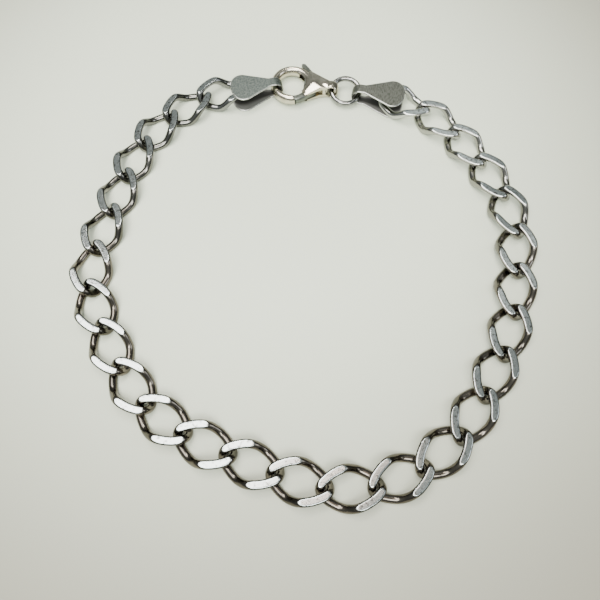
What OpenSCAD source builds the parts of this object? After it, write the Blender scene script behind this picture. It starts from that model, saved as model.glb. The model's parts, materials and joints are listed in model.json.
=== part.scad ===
// Link bracelet: a chain of curb links whose ends carry folded tags, closed by a
// lobster clasp and a jump ring. It lies flat on z = 0, the clasp on the +Y side.

/* [Chain] */
// Distance from the middle of one link to the middle of the next
pitch = 6.5; // [6.4:0.02:6.6]
// Thickness of the round wire that the links are bent from
wire_d = 1.17; // [1.1:0.01:1.22]
// Width of a link, from wire middle to wire middle
link_w = 4.9; // [4.7:0.05:5.1]
// Play between a link's wire and the wire of the next link
link_play = 0.18; // [0.14:0.01:0.22]
// Thickness of the chain, which is ground flat on its top and underside
chain_t = 2.16; // [2.1:0.02:2.3]
// Height of the wire's middle above the chain's middle where a shank lies on top
shank_rise = 0.83; // [0.78:0.01:0.9]

/* [End tags] */
// Length of a tag from its fold to its round end
tag_l = 8.6; // [8.2:0.1:9]
// Width of a tag at its widest
tag_w = 5.3; // [5.1:0.1:5.4]
// Length of a tag's round end, from where it is widest
tag_end_l = 1.95; // [1.8:0.05:2.1]
// Width of a tag at its fold
tag_neck_w = 1.7; // [1.6:0.1:2]
// Thickness of the folded strip
strip_t = 0.25; // [0.22:0.01:0.28]
// Thickness of the post that holds the last link inside the fold
post_d = 0.9; // [0.8:0.05:1]

/* [Clasp] */
// Width of the claw's ring inside, across the chain's direction
claw_hole_l = 4.8; // [4.7:0.05:4.9]
// Width of the claw's ring inside, along the chain
claw_hole_w = 4.5; // [4.4:0.05:4.6]
// Width of the claw's wire, seen from above
claw_wire_w = 1.3; // [1.24:0.02:1.36]
// Thickness of the claw
claw_t = 1.7; // [1.6:0.05:1.8]
// Distance from the claw's middle to the eye in the clasp's tail
clasp_reach = 6.5; // [6.4:0.05:6.6]
// Thickness of the clasp's body at its crown
crown_t = 2.6; // [2.5:0.05:2.7]
// Thickness of the lever
lever_t = 0.9; // [0.84:0.02:0.96]
// Thickness of the lever's pin
pin_d = 0.8; // [0.7:0.05:0.85]

/* [Jump ring] */
// Thickness of the jump ring's wire
ring_wire_d = 0.85; // [0.8:0.05:0.9]
// Outer width of the jump ring
ring_d = 5.45; // [5.4:0.05:5.55]

/* [Hidden] */
LINKS = 27;

// How the chain lies: the first link's place and direction, then how many degrees
// it turns at each joint on its way round the loop.
loop_scale = pitch / 6.5;
first_place = [-13.42, 29.63] * loop_scale;
first_heading = 194;
turns = [22, 18, 16, 8, -3, 15, 24, 4, 9, 18, 12, 2, 5, 18, 19, 17, 18, 4, 9, 10, 3, 18, 16, 6, 13, 23];
// The play lets two links turn this far; beyond it each degree draws them closer
free_turn = 15;
draw_per_degree = 0.026;

// Link
link_steps = 16;
wire_sides = 6;
wire_r = wire_d / 2;
half_l = (pitch + wire_d + link_play) / 2;
half_w = link_w / 2;
flat_z = chain_t / 2;
// How far the plan leans from an oval towards a lozenge, and how square the rise is
lozenge = 0.045;
squareness = 0.14;

// Tags
tag_play = 0.07;
tag_gap = chain_t + 2 * tag_play;
tag_t = tag_gap + 2 * strip_t;
tag_mid_z = tag_t / 2;
fold_r = tag_t / 2;
tag_wide_x = tag_l - fold_r - tag_end_l;
tag_neck_x = tag_wide_x / 7;
// The round end is an oval, made a little squarer; its points start where the
// straight sides touch it
end_steps = 36;
end_squareness = 0.92;
end_start = 106;
fold_side = 2 * tag_neck_w;
post_clear = 0.1;
post_x = half_l - wire_r - post_clear - post_d / 2;
// The last links rise a little at their tag end, to clear the strip below them
link_lift = strip_t + tag_play;
link_tilt = 1.4;
lift_x = 2.1;
// Where the folds sit: from the claw's middle, and from the jump ring's middle,
// and how far each tag swings out of the line to the chain's end
claw_eye_offset = [-2.88, -0.9];
ring_eye_offset = [2.4, -0.72];
claw_tag_swing = 9;
ring_tag_swing = -1;

// Clasp frame: x runs from the claw to the tail, the claw's middle is the origin
clasp_place = [-2.02, 31.28] * loop_scale;
clasp_heading = -7.5;
claw_r = (claw_hole_w + claw_wire_w) / 2;
claw_half_straight = (claw_hole_l - claw_hole_w) / 2;
claw_outer_r = claw_r + claw_wire_w / 2;
claw_edge_r = claw_wire_w / 2;
// Body: its wall beside the claw's opening, its shoulders and its tail
wall_depth = 0.5;
wall_x = claw_hole_w / 2 - wall_depth;
shoulder_t = claw_t;
upper_shoulder_angle = 50;
lower_shoulder_angle = -46;
tail_w = 1.5;
tail_eye_r = 0.92;
tail_r = 1.3;
clasp_z = max(tail_r, crown_t / 2);
// The body's corners between the claw's shoulders and its tail
body_back = [0.52 * clasp_reach, 0.69 * claw_outer_r];
body_neck = [0.9 * clasp_reach, 0.8 * tail_w];
body_belly = [0.74 * clasp_reach, -0.36 * claw_outer_r];
// The crown's corners, from the one beside the gate round to the one at the belly
crown_gate = [wall_x + 0.6, -1.95];
crown_top = [0.54 * clasp_reach, 0.5];
crown_back = [0.84 * clasp_reach, 0.3];
crown_tail = [0.88 * clasp_reach, -0.55];
crown_belly = [0.72 * clasp_reach, -1.05];
// Room on each side of the lever in its slot between the body's two shells
slot_clear = 0.06;
slot_t = lever_t + 2 * slot_clear;
slot_end_x = clasp_reach - 1.4;
slot_front = [0.4, -1];
slot_top = [1.5, claw_outer_r - claw_half_straight];
// Lever
pivot = [3.5, -0.9];
hub_r = 0.7;
fit_clear = 0.03;
gate_w = 1.15;
gate_t = 1.2;
gate_room_l = 0.75;
gate_angles = [-90, -44];
pin_l = 1.9;
pin_bore_l = pin_l + 0.1;
// The arm that joins the gate to the hub, and the plate that joins the hub to the tab
arm_angles = [-46, -54, -40];
arm_top = pivot + [-0.5, 0.5];
arm_low = pivot + [0.3, -0.63];
plate_in = [wall_x + 0.2, 1.4];
plate_neck = [wall_x + 0.4, 2.5];
plate_out = pivot + [0.65, 0.2];
// The mouth between the claw's tip and the gate is a slanted slit
mouth = [0.45, 0.05 - claw_r - claw_half_straight];
mouth_lean = 44;
mouth_gap = 0.14;
// Lever's thumb tab, which leans over the claw's shoulder
thumb_tip = [1.3, 4.5];
thumb_base = [3.3, 2.65];
thumb_heel = [3.85, 0.5];
thumb_t = [0.3, 0.25];
// A length that reaches past the whole clasp, for what is cut right through
past = 3 * clasp_reach;

// Jump ring
ring_wire_r = ring_wire_d / 2;
ring_r = ring_d / 2 - ring_wire_r;
ring_tilt = 10;
ring_eye_angle = 170;
ring_slack = 0.15;

function link_name(i) = str("link_", i < 10 ? "0" : "", i);
function heading(i) = i == 0 ? first_heading : heading(i - 1) + turns[i - 1];
function along(angle, x) = x * [cos(angle), sin(angle)];
function step(turn) = pitch - draw_per_degree * max(0, turn - free_turn);
function link_place(i) = i == 0
  ? first_place
  : link_place(i - 1) + along((heading(i - 1) + heading(i)) / 2, step(turns[i - 1]));
function unit(v) = v / norm(v);

// Middle of a link's wire at angle t round the link. It lies high on two opposite
// shanks and low on the other two, as in a flat oval link that has been twisted.
function wire_middle(t) = [
  half_l * (cos(t) + lozenge * cos(3 * t)) / (1 + lozenge),
  half_w * (sin(t) - lozenge * sin(3 * t)) / (1 + lozenge),
  -shank_rise * (sin(2 * t) + squareness * sin(6 * t)) / (1 - squareness)
];

// The wire's points round its section at angle t, kept between the two ground flats
function wire_ring(t) =
  let (
    ahead = unit(wire_middle(t + 0.1) - wire_middle(t - 0.1)),
    side = unit(cross([0, 0, 1], ahead)),
    up = cross(ahead, side)
  )
  [for (s = [0 : wire_sides - 1])
    let (
      a = 360 * (s + 0.5) / wire_sides,
      p = wire_middle(t) + wire_r * (cos(a) * side + sin(a) * up)
    )
    [p[0], p[1], max(-flat_z, min(flat_z, p[2]))]];

module link() {
  points = [for (i = [0 : link_steps - 1]) each wire_ring(360 * i / link_steps)];
  faces = [for (i = [0 : link_steps - 1], s = [0 : wire_sides - 1])
    let (
      here = i * wire_sides,
      next = ((i + 1) % link_steps) * wire_sides,
      s2 = (s + 1) % wire_sides
    )
    each [
      [here + s, next + s, next + s2],
      [here + s, next + s2, here + s2]
    ]];
  polyhedron(points, faces);
}

// A link in its place, lifted and tilted up at its tag end: end is -1, 0 or 1
module placed_link(i) {
  end = i == 0 ? -1 : i == LINKS - 1 ? 1 : 0;
  lift = end == 0 ? 0 : link_lift - lift_x * sin(link_tilt);
  color("silver")
    translate([link_place(i)[0], link_place(i)[1], flat_z + lift])
      rotate([0, 0, heading(i)])
        rotate([0, -end * link_tilt, 0])
          link();
}

// The tag's round end: an oval's point at angle a, moved a little towards a square
function squarer(v) = sign(v) * pow(abs(v), end_squareness);
function end_point(a) =
  [tag_wide_x + tag_end_l * squarer(cos(a)), tag_w / 2 * squarer(sin(a))];

// The pear-shaped outline of both plates; the fold is at its origin
module tag_outline() {
  polygon(concat(
    [[0, -tag_neck_w / 2], [tag_neck_x, -tag_neck_w / 2]],
    [for (i = [0 : end_steps]) end_point(end_start * (2 * i / end_steps - 1))],
    [[tag_neck_x, tag_neck_w / 2], [0, tag_neck_w / 2]]
  ));
}

module tag_fold() {
  rotate([90, 0, 0])
    intersection() {
      difference() {
        cylinder(r = fold_r, h = tag_neck_w, center = true, $fn = 64);
        cylinder(r = fold_r - strip_t, h = fold_side, center = true, $fn = 64);
      }
      translate([-fold_r, 0, 0])
        cube([2 * fold_r, 2 * tag_t, tag_neck_w], center = true);
    }
}

// Folded strip: two plates joined by a round fold, with a post between them. Its
// origin is the middle of the fold, and the round end points along +x.
module tag(post) {
  color("gray")
    union() {
      for (z = [tag_gap / 2, -tag_gap / 2 - strip_t])
        translate([0, 0, z])
          linear_extrude(strip_t)
            tag_outline();
      tag_fold();
      translate([post[0], post[1], 0])
        cylinder(d = post_d, h = tag_gap + strip_t, center = true, $fn = 32);
    }
}

// Puts a tag's fold at eye, and turns it from the line to the link's end by swing
module placed_tag(eye, link_end, swing) {
  reach = link_end - eye;
  toward = atan2(reach[1], reach[0]);
  translate([eye[0], eye[1], tag_mid_z])
    rotate([0, 0, toward + swing])
      tag(along(-swing, norm(reach)));
}

function clasp_point(p) =
  clasp_place + p[0] * along(clasp_heading, 1) + p[1] * along(clasp_heading + 90, 1);

module tag_claw_side() {
  placed_tag(
    clasp_point(claw_eye_offset),
    link_place(0) - along(heading(0), post_x),
    claw_tag_swing
  );
}

module tag_ring_side() {
  placed_tag(
    ring_place() + ring_eye_offset,
    link_place(LINKS - 1) + along(heading(LINKS - 1), post_x),
    ring_tag_swing
  );
}

// Jump ring: its left side runs through the eye in the clasp's tail
function ring_place() =
  clasp_point([clasp_reach + ring_slack, 0])
  - ring_r * [cos(ring_eye_angle), sin(ring_eye_angle) * cos(ring_tilt)];
ring_z = tag_mid_z - ring_r * sin(ring_eye_angle) * sin(ring_tilt);

module jump_ring() {
  color("silver")
    translate([ring_place()[0], ring_place()[1], ring_z])
      rotate([ring_tilt, 0, 0])
        rotate_extrude($fn = 96)
          translate([ring_r, 0])
            circle(r = ring_wire_r, $fn = 64);
}

module in_clasp_frame() {
  translate([clasp_place[0], clasp_place[1], clasp_z])
    rotate([0, 0, clasp_heading])
      children();
}

function ring_point(r, angle) =
  [r * cos(angle), r * sin(angle) + sign(sin(angle)) * claw_half_straight];

// The claw's section: round inside and outside, flat above and below
module claw_section() {
  half_flat = claw_t / 2 - claw_edge_r;
  for (z = [-half_flat, half_flat])
    translate([0, z])
      circle(r = claw_edge_r, $fn = 32);
  square([claw_wire_w, 2 * half_flat], center = true);
}

module claw_arc(y, from, to) {
  translate([0, y, 0])
    rotate([0, 0, from])
      rotate_extrude(angle = to - from, $fn = 96)
        translate([claw_r, 0])
          claw_section();
}

// Everything on the lever's side of the slanted mouth, moved by shift across it
module lever_side(shift) {
  translate([mouth[0], mouth[1], 0])
    rotate([0, 0, mouth_lean])
      translate([shift, -past / 2, -past / 2])
        cube(past);
}

module claw() {
  claw_arc(claw_half_straight, 0, 180);
  translate([-claw_r, 0, 0])
    rotate([90, 0, 0])
      linear_extrude(2 * claw_half_straight, center = true)
        claw_section();
  difference() {
    claw_arc(-claw_half_straight, 180, 310);
    lever_side(-mouth_gap / 2);
  }
}

// Body: shoulders that narrow to the tail, with a raised crown on both faces
module body_block() {
  top = ring_point(claw_outer_r, upper_shoulder_angle);
  low = ring_point(claw_outer_r, lower_shoulder_angle);
  half_tail = tail_w / 2;
  hull() {
    linear_extrude(shoulder_t, center = true)
      polygon([
        [wall_x, top[1]],
        top,
        body_back,
        body_neck,
        [clasp_reach, half_tail],
        [clasp_reach, -half_tail],
        body_belly,
        low,
        [wall_x, low[1]]
      ]);
    linear_extrude(crown_t, center = true)
      polygon([crown_gate, crown_top, crown_back, crown_tail, crown_belly]);
  }
}

module tail() {
  translate([clasp_reach, 0, 0])
    rotate([90, 0, 0])
      cylinder(r = tail_r, h = tail_w, center = true, $fn = 48);
}

// The slot opens on both long sides of the body and into the claw's opening
module lever_slot() {
  linear_extrude(slot_t, center = true)
    polygon([
      [thumb_tip[0] - wall_depth, past],
      [thumb_tip[0] - wall_depth, thumb_tip[1]],
      slot_top,
      [wall_x, claw_hole_w / 2],
      [wall_x - wall_depth, 0],
      slot_front,
      [slot_front[0], -past],
      [slot_end_x, -past],
      [slot_end_x, past]
    ]);
}

// Room in the body for the gate, which is thicker than the slot
module gate_room() {
  room_t = gate_t + 2 * slot_clear;
  room_r = claw_r + gate_w / 2 + 2 * slot_clear;
  intersection() {
    translate([slot_front[0], -past, -room_t / 2])
      cube([wall_x + gate_room_l - slot_front[0] / 2, past, room_t]);
    translate([0, -claw_half_straight, 0])
      cylinder(r = room_r, h = room_t, center = true, $fn = 96);
  }
}

module pin_bore() {
  translate([pivot[0], pivot[1], 0])
    cylinder(d = pin_d + 2 * fit_clear, h = pin_bore_l, center = true, $fn = 32);
}

module clasp_body() {
  color("silver")
    in_clasp_frame()
      difference() {
        union() {
          claw();
          body_block();
          tail();
        }
        lever_slot();
        gate_room();
        pin_bore();
        translate([clasp_reach, 0, 0])
          rotate([90, 0, 0])
            cylinder(r = tail_eye_r, h = past, center = true, $fn = 48);
      }
}

// The lever seen from above: the hub, the arm to the gate and the plate to the tab
module lever_plan() {
  gate_out = claw_r + gate_w / 2;
  gate_in = claw_r - gate_w / 2;
  translate(pivot)
    circle(r = hub_r, $fn = 48);
  polygon([
    arm_top,
    arm_low,
    ring_point(gate_out, arm_angles[0]),
    ring_point(gate_out, arm_angles[1]),
    ring_point(gate_in, arm_angles[1]),
    ring_point(gate_in, arm_angles[2])
  ]);
  polygon([
    [plate_in[0], pivot[1] - hub_r],
    plate_in,
    plate_neck,
    thumb_tip - thumb_t,
    thumb_tip,
    thumb_tip + [thumb_t[0], 0],
    thumb_base,
    thumb_heel,
    plate_out,
    pivot
  ]);
}

// The gate carries on the claw's curve from the mouth to the arm
module gate() {
  intersection() {
    translate([0, -claw_half_straight, 0])
      rotate([0, 0, gate_angles[0]])
        rotate_extrude(angle = gate_angles[1] - gate_angles[0], $fn = 96)
          translate([claw_r, 0])
            square([gate_w, gate_t], center = true);
    lever_side(mouth_gap / 2);
  }
}

module clasp_lever() {
  color("lightgray")
    in_clasp_frame()
      difference() {
        union() {
          linear_extrude(lever_t, center = true)
            lever_plan();
          gate();
        }
        translate([pivot[0], pivot[1], 0])
          cylinder(d = pin_d + 2 * fit_clear, h = past, center = true, $fn = 32);
      }
}

module clasp_pin() {
  color("silver")
    in_clasp_frame()
      translate([pivot[0], pivot[1], 0])
        cylinder(d = pin_d, h = pin_l, center = true, $fn = 32);
}

for (i = [1 : LINKS])
  placed_link(i - 1);
tag_claw_side();
tag_ring_side();
jump_ring();
clasp_body();
clasp_lever();
clasp_pin();
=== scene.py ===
# %% [markdown]
# # Link bracelet, lying closed in a loop
#
# This notebook dresses the CAD model of a curb link bracelet. The CAD parts stay the
# measure of everything: a new piece lies where its part lies, and moves with the same
# body. All lengths below are in millimetres and become metres only when a mesh is made,
# because small numbers with many zeros are hard to read.

import json
import math

import bmesh
import bpy
import numpy as np
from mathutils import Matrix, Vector

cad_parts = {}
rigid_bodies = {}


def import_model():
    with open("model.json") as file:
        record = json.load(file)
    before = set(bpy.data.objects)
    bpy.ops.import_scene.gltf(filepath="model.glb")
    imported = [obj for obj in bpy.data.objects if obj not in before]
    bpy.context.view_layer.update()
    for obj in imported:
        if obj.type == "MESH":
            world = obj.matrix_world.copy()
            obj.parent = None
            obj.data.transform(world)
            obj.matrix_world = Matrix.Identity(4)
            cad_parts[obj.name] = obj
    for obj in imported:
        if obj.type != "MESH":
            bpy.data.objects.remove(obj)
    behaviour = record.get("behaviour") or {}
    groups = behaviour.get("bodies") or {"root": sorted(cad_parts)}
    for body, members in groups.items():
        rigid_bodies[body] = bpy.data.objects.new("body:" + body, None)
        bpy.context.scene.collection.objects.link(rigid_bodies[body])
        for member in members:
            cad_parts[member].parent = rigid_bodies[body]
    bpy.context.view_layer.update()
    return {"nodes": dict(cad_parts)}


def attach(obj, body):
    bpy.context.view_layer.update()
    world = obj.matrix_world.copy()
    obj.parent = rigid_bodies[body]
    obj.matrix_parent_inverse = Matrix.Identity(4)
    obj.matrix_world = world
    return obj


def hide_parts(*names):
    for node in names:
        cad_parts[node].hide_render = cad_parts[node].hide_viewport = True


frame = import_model()
MM = 0.001

# %% [markdown]
# ## Angles in degrees
#
# A maker thinks in degrees, and numpy in radians. Four small helpers hide the change:
# cosine and sine of degrees, a plane point at an angle, and the turning of points about
# an axis.


# %% Angle helpers
def cos_deg(angle):
    """Cosine of an angle in degrees."""
    return np.cos(np.radians(angle))


def sin_deg(angle):
    """Sine of an angle in degrees."""
    return np.sin(np.radians(angle))


def along(angle, x=1.0):
    """The plane point x (cos a, sin a)."""
    return x * np.array([cos_deg(angle), sin_deg(angle)])


def turned(points, angle, axis="z"):
    """The points turned about an axis: p' = M p, with M the usual turning matrix."""
    c, s = cos_deg(angle), sin_deg(angle)
    matrix = {
        "x": [[1, 0, 0], [0, c, -s], [0, s, c]],
        "y": [[c, 0, s], [0, 1, 0], [-s, 0, c]],
        "z": [[c, -s, 0], [s, c, 0], [0, 0, 1]],
    }[axis]
    return points @ np.array(matrix).T


print("a quarter turn takes x to", turned(np.array([1.0, 0, 0]), 90).round(3))

# %% [markdown]
# ## Turning numbers into surfaces
#
# Nearly every piece here is a surface with two parameters: one runs along the piece,
# the other runs round it. Numpy works out all points at once, as a block of
# rows x columns x 3 numbers, and the faces follow from the block's size alone. A row or
# column that closes on itself is joined back to its start. Points that fall together,
# as at a pole, are merged, and the faces are then turned outwards.


# %% Mesh helpers
# Points closer than this, in metres, are one point
MERGE_WITHIN = 1e-7


def grid_quads(rows, columns, close_rows=False, close_columns=True):
    """Corner numbers of the four-sided faces of a rows x columns grid of points."""
    number = np.arange(rows * columns).reshape(rows, columns)
    if close_rows:
        number = np.vstack([number, number[:1]])
    if close_columns:
        number = np.hstack([number, number[:, :1]])
    return np.stack(
        [number[:-1, :-1], number[1:, :-1], number[1:, 1:], number[:-1, 1:]], axis=-1
    ).reshape(-1, 4)


def quads_of(points, close_rows=False):
    """A grid of points with its faces."""
    return points, grid_quads(*points.shape[:2], close_rows=close_rows)


def fill_mesh(mesh, points, quads, values):
    """Puts points, faces and the numbers that each point keeps into an empty mesh."""
    mesh.vertices.add(len(points))
    mesh.vertices.foreach_set("co", (points * MM).astype(np.float32).ravel())
    mesh.loops.add(quads.size)
    mesh.loops.foreach_set("vertex_index", quads.astype(np.int32).ravel())
    mesh.polygons.add(len(quads))
    mesh.polygons.foreach_set("loop_start", np.arange(0, quads.size, 4, dtype=np.int32))
    mesh.update(calc_edges=True)
    for key, numbers in values.items():
        kept = mesh.attributes.new(key, "FLOAT", "POINT")
        kept.data.foreach_set("value", np.asarray(numbers, np.float32).ravel())
    mesh.validate()


def close_seams(mesh):
    """Merges points that fall together and turns the faces outwards."""
    shape = bmesh.new()
    shape.from_mesh(mesh)
    bmesh.ops.remove_doubles(shape, verts=shape.verts, dist=MERGE_WITHIN)
    bmesh.ops.recalc_face_normals(shape, faces=shape.faces)
    shape.to_mesh(mesh)
    shape.free()


def make_mesh(name, surfaces, **values):
    """One object from several (points, quads) surfaces."""
    sizes = [points.reshape(-1, 3).shape[0] for points, _ in surfaces]
    start = np.cumsum([0] + sizes)
    points = np.vstack([points.reshape(-1, 3) for points, _ in surfaces])
    quads = np.vstack([quads + first for (_, quads), first in zip(surfaces, start)])
    mesh = bpy.data.meshes.new(name)
    fill_mesh(mesh, points, quads, values)
    close_seams(mesh)
    mesh.shade_smooth()
    piece = bpy.data.objects.new(name, mesh)
    bpy.context.scene.collection.objects.link(piece)
    return piece


def seat(piece, node, body="bracelet"):
    """Lets a piece ride on a body in place of a CAD node, which is hidden."""
    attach(piece, body)
    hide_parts(node)
    return piece


print("a closed band of 3 x 4 points has", len(grid_quads(3, 4)), "faces")

# %% [markdown]
# ## The chain's route
#
# Each link lies a pitch further along than the one before, turned by a few degrees.
# The list of turns gives the shape in which the bracelet lies in the photo. The CAD
# model has the same list, so every new link falls exactly on its CAD link. Where two
# links turn further than their play lets them, they draw a little closer.

# %% Where the links lie
LINKS = 27
PITCH, WIRE, LINK_W, PLAY, CHAIN_T, RISE = 6.5, 1.17, 4.9, 0.18, 2.16, 0.83
FIRST_PLACE, FIRST_HEADING = np.array([-13.42, 29.63]), 194
TURNS = np.array(
    [22, 18, 16, 8, -3, 15, 24, 4, 9, 18, 12, 2, 5]
    + [18, 19, 17, 18, 4, 9, 10, 3, 18, 16, 6, 13, 23]
)
FREE_TURN, DRAW = 15, 0.026

headings = FIRST_HEADING + np.concatenate([[0], np.cumsum(TURNS)])
steps = PITCH - DRAW * np.maximum(0, TURNS - FREE_TURN)
between = (headings[:-1] + headings[1:]) / 2
moves = steps[:, None] * np.stack([cos_deg(between), sin_deg(between)], axis=1)
places = FIRST_PLACE + np.vstack([[0, 0], np.cumsum(moves, axis=0)])
print("last link at", places[-1].round(2), "mm, heading", headings[-1])

# %% [markdown]
# ## A curb link
#
# The real link is a ring of round wire, pressed oval, twisted so that two opposite
# shanks lie high and the other two low, and then ground flat on both faces with all
# its neighbours. The wire's middle is an oval that leans a little towards a lozenge and
# whose height swings twice in one turn round the link.

# %% The wire's path
LOZENGE, SQUARENESS = 0.045, 0.14
HALF_L, HALF_W = (PITCH + WIRE + PLAY) / 2, LINK_W / 2


def wire_path(t):
    """x = A (cos t + k cos 3t) / (1 + k), y = B (sin t - k sin 3t) / (1 + k),
    z = -rise (sin 2t + m sin 6t) / (1 - m), with t in degrees."""
    x = HALF_L * (cos_deg(t) + LOZENGE * cos_deg(3 * t)) / (1 + LOZENGE)
    y = HALF_W * (sin_deg(t) - LOZENGE * sin_deg(3 * t)) / (1 + LOZENGE)
    z = -RISE * (sin_deg(2 * t) + SQUARENESS * sin_deg(6 * t)) / (1 - SQUARENESS)
    return np.stack([x, y, z], axis=-1)


print("the wire's middle starts at", wire_path(0).round(2), "mm")

# %% [markdown]
# ## Grinding the link flat
#
# A round section is carried along the path, and every point above the ground plane is
# brought down to it. That alone would leave a ragged edge, so the points of each ring
# are shared out anew: fourteen always lie over the flat, from edge to edge, and the
# others over the round part. The edge then follows a row of points and stays crisp.
# Years of wear have rounded it, so the outer quarter of the flat slopes down a little.

# %% Link surface
FLAT_Z = CHAIN_T / 2
LINK_STEPS = 144
LEAST_FLAT = 9.0
NEARBY, ON_PLANE = 0.1, 1e-6
EDGE_START, EDGE_SLOPE, FULL_FLAT = 0.75, 0.6, 0.35
HALF_ROW = np.array([0.15, 0.45, 0.72, 0.78, 0.84, 0.92, 1])
OVER_FLAT = np.concatenate([-HALF_ROW[::-1], HALF_ROW])[None, :]
OVER_ROUND = np.array([0.03, 0.1, 0.2, 0.3, 0.4, 0.5, 0.6, 0.7, 0.8, 0.9, 0.97])[None, :]


def wire_frame(t):
    """The wire's middle at t, with the unit vectors to its side and upwards."""
    ahead = wire_path(t + NEARBY) - wire_path(t - NEARBY)
    ahead /= np.linalg.norm(ahead, axis=1)[:, None]
    side = np.cross([0, 0, 1], ahead)
    side /= np.linalg.norm(side, axis=1)[:, None]
    return wire_path(t), side, np.cross(ahead, side)


def flat_angle(height, reach):
    """Half the angle that a flat takes of the wire: arccos((plane - middle) / radius)."""
    angle = np.degrees(np.arccos(np.clip((FLAT_Z - height) / reach, -1, 1)))
    return np.maximum(angle, LEAST_FLAT)[:, None]


def ring_angles(top, low):
    """Angles of a ring's points: over the top flat, down, over the low flat, and up."""
    gap = 180 - top - low
    return np.hstack([
        90 + np.degrees(np.arcsin(OVER_FLAT * sin_deg(top))),
        90 + top + gap * OVER_ROUND,
        270 + np.degrees(np.arcsin(OVER_FLAT * sin_deg(low))),
        270 + low + gap * OVER_ROUND,
    ])


def link_surface():
    """p(t, a) = middle(t) + r cos(a) side + r sin(a) up, kept under the ground planes,
    which slope down past three quarters of the flat's width. Also returns which points
    lie on a flat."""
    middle, side, up = wire_frame(np.linspace(0, 360, LINK_STEPS, endpoint=False))
    radius = WIRE / 2
    reach = radius * up[:, 2]
    top, low = flat_angle(middle[:, 2], reach), flat_angle(-middle[:, 2], reach)
    angle = ring_angles(top, low)
    points = (
        middle[:, None, :]
        + radius * cos_deg(angle)[..., None] * side[:, None, :]
        + radius * sin_deg(angle)[..., None] * up[:, None, :]
    )
    offset = np.abs(radius * cos_deg(angle))
    for sign, half_angle in ((1, top), (-1, low)):
        width = radius * sin_deg(half_angle)
        past_edge = np.maximum(0, offset - EDGE_START * width)
        fall = EDGE_SLOPE * np.clip(width / FULL_FLAT, 0, 1) * past_edge
        points[..., 2] = sign * np.minimum(sign * points[..., 2], FLAT_Z - fall)
    ground = np.abs(points[..., 2]) > FLAT_Z - ON_PLANE
    return points, ground


LINK_POINTS, LINK_GROUND = link_surface()
print("a link has", LINK_POINTS.shape[0] * LINK_POINTS.shape[1], "points")

# %% [markdown]
# ## Laying the chain
#
# Every link is the same surface, turned and moved to its place. The first and last
# links are raised a little at one end, because a folded tag's strip runs under them.
# Each point keeps its place in the link's own measures, and the link's number, so that
# the material can find the flats and make no two links alike.

# %% Chain
STRIP_T, TAG_PLAY = 0.25, 0.07
LIFT, TILT, LIFT_X = STRIP_T + TAG_PLAY, 1.4, 2.1


def laid_link(i):
    """Link i's surface in the bracelet: tilted at a tag, turned to its heading, moved."""
    end = {0: -1, LINKS - 1: 1}.get(i, 0)
    lift = abs(end) * (LIFT - LIFT_X * sin_deg(TILT))
    points = turned(turned(LINK_POINTS, -end * TILT, "y"), headings[i])
    return points + [places[i][0], places[i][1], FLAT_Z + lift]


links = []
for i in range(LINKS):
    local = LINK_POINTS.reshape(-1, 3)
    piece = make_mesh(
        f"curb_link_{i + 1:02d}",
        [quads_of(laid_link(i), close_rows=True)],
        ground=LINK_GROUND,
        along=local[:, 0],
        across=local[:, 1],
        height=local[:, 2],
        number=np.full(len(local), i + 1),
    )
    links.append(seat(piece, f"link_{i + 1:02d}"))
print("links laid:", len(links))

# %% [markdown]
# ## Jump ring
#
# A round ring of round wire, which is a torus. It runs through the eye in the clasp's
# tail on one side and through a tag's fold on the other, and it leans a little, because
# its far side lies over the tag's lower plate.

# %% Jump ring
CLASP_PLACE, CLASP_HEADING, CLASP_REACH = np.array([-2.02, 31.28]), -7.5, 6.5
TAG_GAP = CHAIN_T + 2 * TAG_PLAY
TAG_MID_Z = TAG_GAP / 2 + STRIP_T
RING_WIRE, RING_D, RING_TILT, RING_EYE_ANGLE, RING_SLACK = 0.85, 5.45, 10, 170, 0.15
RING_R = (RING_D - RING_WIRE) / 2


def clasp_point(x, y):
    """A plane point given in the clasp's frame, which runs from the claw to the tail."""
    return CLASP_PLACE + x * along(CLASP_HEADING) + y * along(CLASP_HEADING + 90)


def torus(radius, tube, rows=144, columns=32):
    """x = (R + r cos v) cos u, y = (R + r cos v) sin u, z = r sin v."""
    u = np.linspace(0, 360, rows, endpoint=False)[:, None]
    v = np.linspace(0, 360, columns, endpoint=False)[None, :]
    out = radius + tube * cos_deg(v)
    return np.stack([out * cos_deg(u), out * sin_deg(u), tube * sin_deg(v) + 0 * u], axis=-1)


eye_side = RING_R * along(RING_EYE_ANGLE)
ring_middle = clasp_point(CLASP_REACH + RING_SLACK, 0) - eye_side * [1, cos_deg(RING_TILT)]
ring_z = TAG_MID_Z - eye_side[1] * sin_deg(RING_TILT)
ring_points = turned(torus(RING_R, RING_WIRE / 2), RING_TILT, "x") + [*ring_middle, ring_z]
jump_ring = make_mesh("round_jump_ring", [quads_of(ring_points, close_rows=True)])
seat(jump_ring, "jump_ring")
print("jump ring at", ring_middle.round(2), "mm")

# %% [markdown]
# ## The outline of an end tag
#
# Each tag is one strip of sheet silver with two round ends, folded in half over the
# jump ring or the claw, and soldered to the chain's last link by a post inside. One
# half of the strip is pear-shaped: an oval end, straight sides that narrow, and a neck.
# Its rim is bevelled further on, so each row also needs the outline's outward normal.

# %% Tag outline
TAG_L, TAG_W, TAG_END_L, NECK_W, POST_D, POST_CLEAR = 8.6, 5.3, 1.95, 1.7, 0.9, 0.1
END_SQUARENESS, END_START = 0.92, 106
FOLD_R = TAG_MID_Z
WIDE_X = TAG_L - FOLD_R - TAG_END_L
NECK_PARTS = 7
NECK_X = WIDE_X / NECK_PARTS
POST_X = HALF_L - WIRE / 2 - POST_CLEAR - POST_D / 2
ROUND_ROWS, SIDE_ROWS, NECK_ROWS = 44, 15, 4


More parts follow.
